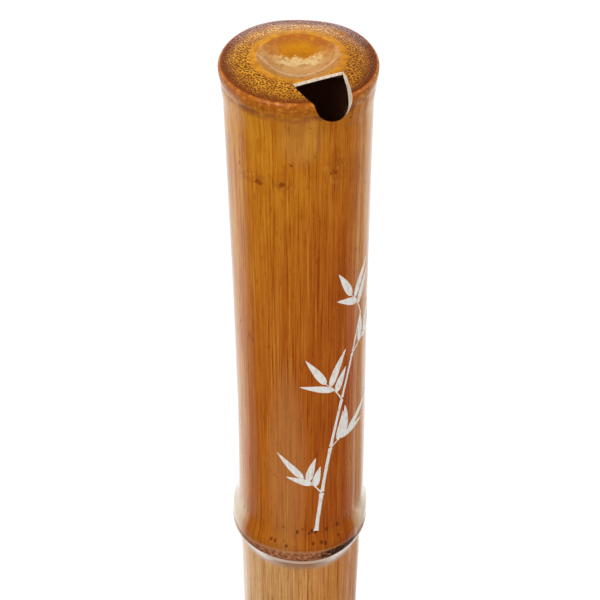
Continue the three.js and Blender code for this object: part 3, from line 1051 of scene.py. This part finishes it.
def brass():
    """Lathe-turned brass, slightly tarnished."""
    f = Finish("turned_brass")
    stain = f.grain(0.25, 0.25, detail=5, shift=3)
    tone = stain.step(0.42, 0.68).blend((0.72, 0.50, 0.20), (0.46, 0.27, 0.09))
    f.set(Base_Color=tone, Metallic=1.0, Roughness=stain.step(0.35, 0.7, 0.22, 0.42))
    f.set(Normal=f.relief(f.grain(0.02, 9, detail=2), BRASS_RELIEF))
    return f.material


def rubber():
    f = Finish("rubber")
    bloom_and_highlight = f.grain(1.2, 1.2, detail=4)
    f.set(Base_Color=bloom_and_highlight.blend((0.012, 0.011, 0.011), (0.045, 0.042, 0.04)), Roughness=0.7)
    f.set(Normal=f.relief(bloom_and_highlight, RUBBER_RELIEF))
    return f.material


def white_filling():
    f = Finish("white_filling")
    wear = f.grain(2.2, 0.6, detail=4).step(0.45, 0.7)
    f.set(Base_Color=wear.blend((0.86, 0.84, 0.80), (0.70, 0.60, 0.48)), Roughness=0.5)
    return f.material


def culm_piece(name, runs, cutters, finishes, node, body):
    made = turned(name, runs, finishes, place=grown)
    carve(made, cutters)
    mark_lips(made)
    done(made, body, node)


def head_culm(finishes):
    low = span("head_tube")[0]
    _, top, radius = span("head_ferrule")
    seat_top, seat = RIM_HEIGHT - top - GLUE_GAP, radius - FERRULE_PROUD - FERRULE_INLAY
    socket_top, socket_seat = (edge + GLUE_GAP for edge in span("socket_tube")[1:])
    dish, dome = end_face_outline()
    outside = rim_outline() + culm_outline(RIM_BAND + RIM_FLARE_LENGTH, seat_top)
    outside.append((culm_radius(seat_top), seat_top))
    ledge = [(seat, RIM_HEIGHT - seat_top), (seat, low)]
    socket = [(socket_seat, low), (socket_seat, socket_top), (BORE_RADIUS, socket_top)]
    runs = [
        (END, over_rim(dish + dome)),
        (SKIN, below_rim(outside)),
        (CUT, ledge),
        (BORE, socket + over_rim(underside_outline())),
    ]
    cutters = [notch_cutter(finishes), hollow_cutter(finishes)]
    culm_piece("head_culm", runs, cutters, finishes, "head_tube", "head_section")


def stroke(start, heading, length, turning, half_width, shape):
    """(place round the culm, distance, half width) points along a curve. Heading 0 is up."""
    points, place = [], Vector(start)
    for s in steps(STROKE_STEPS):
        points.append((place.x, place.y, half_width * shape(s)))
        angle = heading + turning * s
        place += Vector((sin(angle), -cos(angle))) * length / STROKE_STEPS
    return points


def leaf_shape(s):
    belly = sin(pi * s ** LEAF_EARLINESS) ** LEAF_FULLNESS if 0 < s < 1 else 0
    return LEAF_BLUNTNESS + belly


def stalk_shape(s):
    return 1 + STALK_FLARE_SHARE * (2 * s - 1) ** STALK_FLARE_POWER


def twig_shape(s):
    return 1 - TWIG_TAPER_SHARE * s


def varied(first, second):
    """A fixed number from about -1 to 1 for each pair of numbers."""
    return noise.noise(Vector((first, second, VARIETY_START)) * VARIETY_SCALE) * 2


def twig_strokes(start, heading, side, number):
    """A curved twig, with leaves by turns on both sides and one at its tip."""
    length = TWIG_LENGTH * (1 + TWIG_VARIETY * varied(number, 1))
    twig = stroke(start, heading + side * TWIG_ANGLE, length, side * TWIG_TURNING, TWIG_WIDTH / 2, twig_shape)
    strokes = [twig]
    for i, share in enumerate(LEAF_SHARES):
        at = twig[round(share * STROKE_STEPS)]
        hand = side if i % 2 else -side
        if share == 1:
            hand = side * LEAF_AT_TIP_SHARE
        angle = LEAF_ANGLE + LEAF_ANGLE_VARIETY * varied(number, i + 2)
        lean = heading + side * TWIG_ANGLE + hand * angle
        size = LEAF_LENGTH * (1 + LEAF_VARIETY * varied(number, i + 7))
        strokes.append(stroke(at[:2], lean, size, hand * LEAF_TURNING, LEAF_WIDTH / 2, leaf_shape))
    return strokes


def spray_strokes():
    """A jointed stalk that climbs the culm, with a leafy twig at each joint."""
    strokes, place, heading = [], Vector(SPRAY_START), SPRAY_HEADING
    for number, length in enumerate(STALK_LENGTHS):
        width = STALK_WIDTH * (1 - STALK_THINNING * number)
        stalk = stroke(place, heading, length, SPRAY_TURNING, width / 2, stalk_shape)
        strokes.append(stalk)
        heading += SPRAY_TURNING
        tip = Vector(stalk[-1][:2])
        side = 1 if number % 2 else -1
        strokes += twig_strokes(tip, heading, side, number)
        place = tip + Vector((sin(heading), -cos(heading))) * STALK_GAP
    return strokes


def on_culm(across, distance, lift):
    """A place on the skin, from its arc right of the camera's line and its distance."""
    radius = culm_radius(distance)
    return grown(radius + lift, CAMERA_TURN + across / radius, RIM_HEIGHT - distance)


def engraved_spray(finish):
    """The filled engraving: a thin closed shell for each stroke, just proud of the skin."""
    vertices, faces = [], []
    for points in spray_strokes():
        first, last = len(vertices), len(points) - 1
        for i, (across, distance, half) in enumerate(points):
            before, after = points[max(i - 1, 0)], points[min(i + 1, last)]
            along = Vector((after[0] - before[0], after[1] - before[1])).normalized()
            aside = Vector((-along.y, along.x)) * half
            corners = (-1, FILLING_PROUD), (1, FILLING_PROUD), (1, -FILLING_DEPTH), (-1, -FILLING_DEPTH)
            for hand, lift in corners:
                vertices.append(on_culm(across + aside.x * hand, distance + aside.y * hand, lift))
        for i in range(last):
            a, b = first + 4 * i, first + 4 * i + 4
            faces += [(a + k, a + (k + 1) % 4, b + (k + 1) % 4, b + k) for k in range(4)]
        faces += [(first + 3, first + 2, first + 1, first), tuple(first + 4 * last + k for k in range(4))]
    done(piece("engraved_spray", vertices, faces, [finish]), "head_section")


def hole_distance(semitones):
    """How far down a hole lies that raises the note by so many semitones."""
    whole = SOUNDING_LENGTH + END_CORRECTION
    return whole * 2 ** (-semitones / OCTAVE) - END_CORRECTION


def foot_culm(finishes):
    top = span("foot_tube")[1]
    low, _, radius = span("foot_ferrule")
    seat_low, seat = RIM_HEIGHT - low + GLUE_GAP, radius - FERRULE_PROUD - FERRULE_INLAY
    low, _, radius = span("tenon_tube")
    tenon_low, tenon_seat = low - GLUE_GAP, radius + GLUE_GAP
    end = culm_radius(CULM_LENGTH)
    ledge = [(tenon_seat, top), (seat, top), (seat, RIM_HEIGHT - seat_low)]
    outside = [(culm_radius(seat_low), seat_low), *culm_outline(seat_low, CULM_LENGTH - FOOT_EDGE_ROUND)]
    rounding = FOOT_EDGE_ROUND * FOOT_EDGE_SHARE
    runs = [
        (CUT, ledge),
        (SKIN, below_rim(outside) + [(end, FOOT_EDGE_ROUND), (end - rounding, rounding)]),
        (END, [(end - FOOT_EDGE_ROUND, 0)]),
        (BORE, [(BORE_RADIUS, 0), (BORE_RADIUS, tenon_low), (tenon_seat, tenon_low)]),
    ]
    holes = [(*FINGER_HOLE, hole_distance(semitone), 0) for semitone in FRONT_HOLE_SEMITONES]
    holes.append((*FINGER_HOLE, hole_distance(THUMB_HOLE_SEMITONE), pi))
    holes += [(*VENT, SOUNDING_LENGTH + VENT_SPACING * i, pi) for i in range(VENT_COUNT)]
    holes += [(*CROSS_HOLE, SOUNDING_LENGTH + CROSS_HOLE_DISTANCE, turn) for turn in (pi / 2, -pi / 2)]
    cutters = [hole_cutter(*hole, finishes) for hole in holes]
    culm_piece("foot_culm", runs, cutters, finishes, "foot_tube", "foot_section")


def rounded(radius, height, size, start):
    """A round edge at an outer corner, clockwise from its top or its side."""
    middle = height - size if start == TOP else height + size
    angles = [2 * pi * (start - s / 4) for s in steps(EDGE_STEPS)]
    return [(radius - size + size * cos(angle), middle + size * sin(angle)) for angle in angles]


def true_piece(name, loop, finish, body):
    made = turned(name + "_turned", [(0, loop)], [finish], around=AROUND_JOINT)
    done(made, body, name)


def ferrule(name, finish, body):
    """A brass ring with round edges and a groove round its middle."""
    low, high, outer = span(name)
    inner = outer - FERRULE_PROUD - FERRULE_INLAY + GLUE_GAP
    middle, half = (low + high) / 2, FERRULE_GROOVE_WIDTH / 2
    groove = [
        (outer - FERRULE_GROOVE_DEPTH * cos(pi / 2 * s), middle - half * s)
        for s in (2 * share - 1 for share in steps(GROOVE_STEPS))
    ]
    loop = rounded(outer, high, FERRULE_EDGE_ROUND, TOP) + groove
    loop += rounded(outer, low, FERRULE_EDGE_ROUND, SIDE) + [(inner, low), (inner, high)]
    true_piece(name, loop, finish, body)


def socket_tube(finish):
    low, high, outer = span("socket_tube")
    inner = outer - SOCKET_WALL
    loop = [(inner, high), (outer, high), (outer, low)]
    loop += [(inner + SOCKET_LEAD, low), (inner, low + SOCKET_LEAD)]
    true_piece("socket_tube", loop, finish, "head_section")


def tenon_tube(finish):
    """The tenon, with a groove for each seal ring."""
    low, high, outer = span("tenon_tube")
    inner = outer - TENON_WALL
    loop = [(inner, high), *rounded(outer, high, TENON_EDGE_ROUND, TOP)]
    for ring in ("seal_ring_1", "seal_ring_2"):
        bottom, top, _ = span(ring)
        bottom, top, floor = bottom - SEAL_END_PLAY, top + SEAL_END_PLAY, outer - SEAL_GROOVE_DEPTH
        loop += [(outer, top), (floor, top), (floor, bottom), (outer, bottom)]
    loop += [(outer, low), (inner, low)]
    true_piece("tenon_tube", loop, finish, "foot_section")


def seal_ring(name, finish):
    low, high, outer = span(name)
    size, height = (high - low) / 2, (high + low) / 2
    middle = outer - size
    loop = [(middle + size * cos(-turn), height + size * sin(-turn)) for turn in turns(SEAL_STEPS)]
    true_piece(name, loop, finish, "seal_rings")


def make_camera():
    data = bpy.data.cameras.new("camera")
    data.sensor_width = SENSOR_WIDTH
    data.lens = FOCAL_PIXELS / FRAME_PIXELS * SENSOR_WIDTH
    data.clip_start, data.clip_end = CAMERA_CLIP
    camera = placed("camera", data)
    camera.location = point_at(CAMERA_STAND_OFF, CAMERA_TURN, RIM_HEIGHT + CAMERA_RISE)
    camera.rotation_euler = (pi / 2 - CAMERA_PITCH, 0, CAMERA_TURN - CAMERA_YAW)
    bpy.context.scene.camera = camera


def seen_share(tree, share):
    """1 to the camera, a share in reflections and through glass, and 0 as light."""
    rays = ("Camera", "Glossy", "Transmission")
    camera, glossy, through = (add_node(tree, "LightPath", output=f"Is {ray} Ray") for ray in rays)
    return camera.maths("MAXIMUM", glossy.maths("MAXIMUM", through) * share)


def make_floor():
    """A pale table that reads as white and keeps the flute's shadow."""
    near, far, side = -AWAY * TABLE_FRONT, AWAY * TABLE_REACH, RIGHT * TABLE_REACH
    floor = piece("floor", [near - side, near + side, far + side, far - side], [(0, 1, 2, 3)], [])
    f = Finish("floor")
    f.set(Base_Color=TABLE_COLOUR, Roughness=0.9, Specular_IOR_Level=0.0)
    start, end = (edge / MM for edge in FLOOR_GLOW_EDGE)
    behind = f.over(outward(CAMERA_TURN + FLOOR_GLOW_TURN)).step(start, end)
    strength = seen_share(f.tree, behind) * FLOOR_GLOW
    glow = f.node("Emission", {"Color": WHITE, "Strength": strength})
    both = f.node("AddShader", {0: Value(f.tree, f.shader.outputs[0]), 1: glow})
    join(f.tree, f.tree.nodes["Material Output"], {0: both})
    floor.data.materials.append(f.material)


def make_world():
    """White to the camera, softer on the object and dark below the table."""
    world = bpy.data.worlds.new("studio")
    world.use_nodes = True
    bpy.context.scene.world = world
    tree = world.node_tree
    looking = add_node(tree, "TexCoord", output="Generated")
    up = add_node(tree, "SeparateXYZ", {0: looking}, "Z")
    forward = {0: looking, 1: tuple(AWAY)}
    away = add_node(tree, "VectorMath", forward, "Value", operation="DOT_PRODUCT")
    level = up.step(*WORLD_HORIZON, WORLD_LEVEL_BELOW, WORLD_LEVEL, "LINEAR")
    lit = away.step(*WORLD_BEHIND, kind="LINEAR") * up.step(*WORLD_LOW, 1, 0, "LINEAR")
    strength = add_node(tree, "Mix", {0: seen_share(tree, lit), 2: level, 3: 1.0})
    join(tree, tree.nodes["Background"], {"Color": WHITE, "Strength": strength})


def lamp(name, turn, reach, height, size, radiance, aim):
    """A soft rectangular lamp, aimed at a height on the axis."""
    data = bpy.data.lights.new(name, "AREA")
    data.shape = "RECTANGLE"
    data.size, data.size_y = size
    data.energy = radiance * pi * size[0] * size[1]
    made = placed(name, data)
    made.location = point_at(reach, CAMERA_TURN + radians(turn), height)
    made.rotation_euler = (Vector((0, 0, aim)) - made.location).to_track_quat("-Z", "Y").to_euler()
    made.visible_camera = False


bpy.context.scene.view_settings.view_transform = "Standard"
make_camera()
make_world()
make_floor()
for lamp_values in LAMPS:
    lamp(*lamp_values)
skin = culm_skin()
cut = cut_bamboo()
bore = bore_lacquer()
turned_brass = brass()
seal_rubber = rubber()
head_culm([skin, end_grain("end_face", True), cut, bore])
foot_culm([skin, end_grain("foot_end", False), cut, bore])
engraved_spray(white_filling())
ferrule("head_ferrule", turned_brass, "head_section")
ferrule("foot_ferrule", turned_brass, "foot_section")
socket_tube(turned_brass)
tenon_tube(turned_brass)
seal_ring("seal_ring_1", seal_rubber)
seal_ring("seal_ring_2", seal_rubber)
